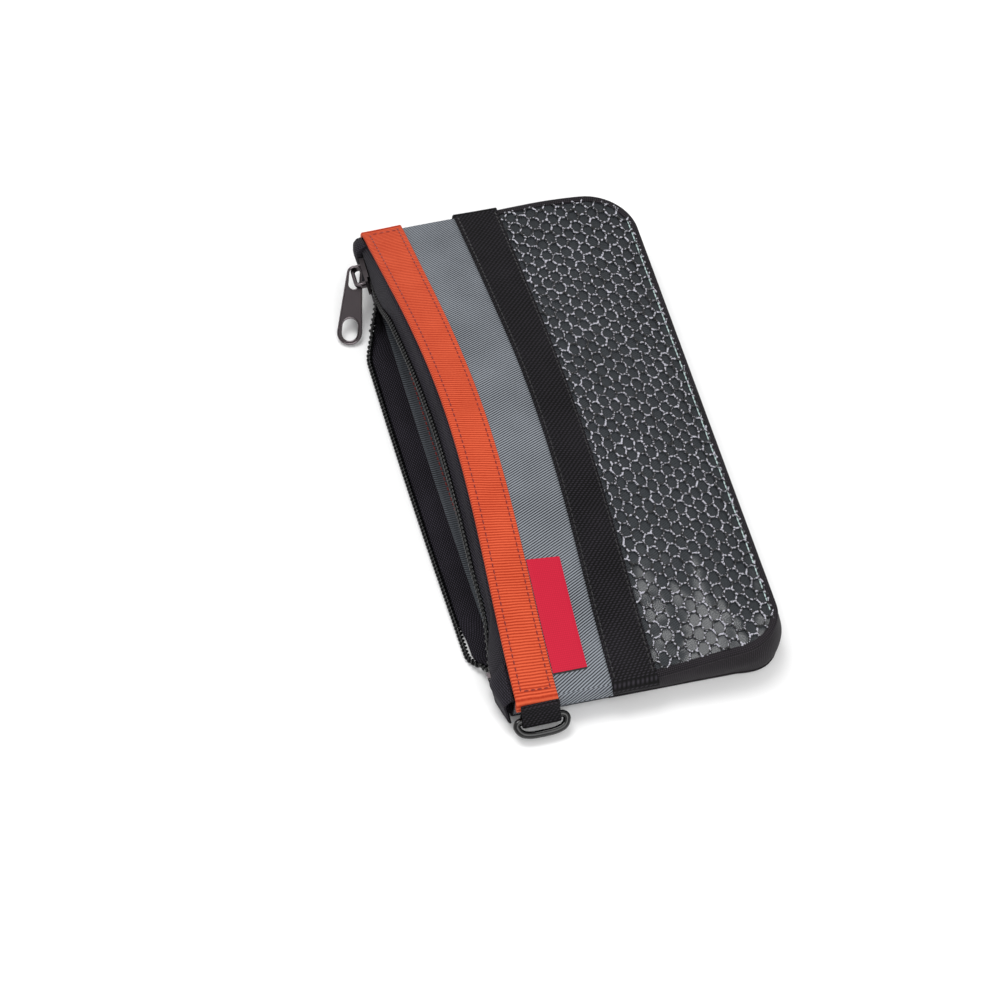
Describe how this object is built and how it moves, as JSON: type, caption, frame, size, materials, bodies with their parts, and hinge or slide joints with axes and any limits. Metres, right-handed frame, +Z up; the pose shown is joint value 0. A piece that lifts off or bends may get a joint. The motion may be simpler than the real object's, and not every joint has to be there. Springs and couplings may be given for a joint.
{
  "type": "small parts bag",
  "caption": "Flat zipped parts bag lying open on its back, with a netted clear window, an orange lip band, a hanging ring and a free pull.",
  "frame": {"origin": "centre of the bag's bounding box, at the face it lies on", "axes": "+Y along the bag to the end where the open slider rests, +X from the zipped mouth to the folded base, +Z up through the window"},
  "size_m": [0.1524, 0.2938, 0.0582],
  "materials": {
    "grey_twill": "coated twill",
    "black_twill": "coated twill",
    "black_webbing": "ribbed webbing",
    "orange_webbing": "ribbed webbing",
    "red_label": "woven, left bare",
    "clear_film": "clear and glossy",
    "net_yarn": "knitted net",
    "zip_tape": "knitted tape",
    "zip_nylon": "moulded coil",
    "black_nickel": "black nickel on cast zinc",
    "black_acetal": "moulded, glossy"
  },
  "bodies": {
    "bag": {"window_film": "clear_film", "window_net": "net_yarn", "black_band": "black_webbing", "grey_panel": "grey_twill", "orange_band": "orange_webbing", "label": "red_label", "gusset_black": "black_twill", "gusset_grey_near": "grey_twill", "gusset_grey_far": "grey_twill", "back_panel": "grey_twill", "lower_hem": "grey_twill", "back_seam_binding": "black_webbing", "front_seam_binding": "black_webbing", "zip_tape_upper": "zip_tape", "zip_tape_lower": "zip_tape", "zip_coil_upper": "zip_nylon", "zip_coil_lower": "zip_nylon", "zip_bottom_stop": "black_nickel", "zip_top_stop_upper": "black_nickel", "zip_top_stop_lower": "black_nickel", "zip_end_tab_far": "zip_tape", "zip_end_tab_near": "zip_tape", "d_ring_loop": "black_webbing"},
    "slider": {"slider_body": "black_nickel", "slider_crown": "black_nickel"},
    "pull": {"pull_tab": "black_nickel"},
    "ring": {"d_ring": "black_acetal"}
  },
  "joints": [
    {"name": "slider_travel", "type": "slide", "parent": "bag", "child": "slider", "axis": [-0.0236, -0.9997, -0.0068], "range_m": [0, 0.22], "deforming": ["zip_tape_upper", "zip_tape_lower", "zip_coil_upper", "zip_coil_lower"]},
    {"name": "pull_swing", "type": "hinge", "parent": "slider", "child": "pull", "pos_m": [-0.06216, 0.12638, 0.01717], "axis": [0.9845, -0.0244, 0.1736], "range_deg": [0, 119]},
    {"name": "ring_swing", "type": "hinge", "parent": "bag", "child": "ring", "pos_m": [-0.04263, -0.13906, 0.0078], "axis": [1, 0, 0], "range_deg": [-70, 75]}
  ]
}
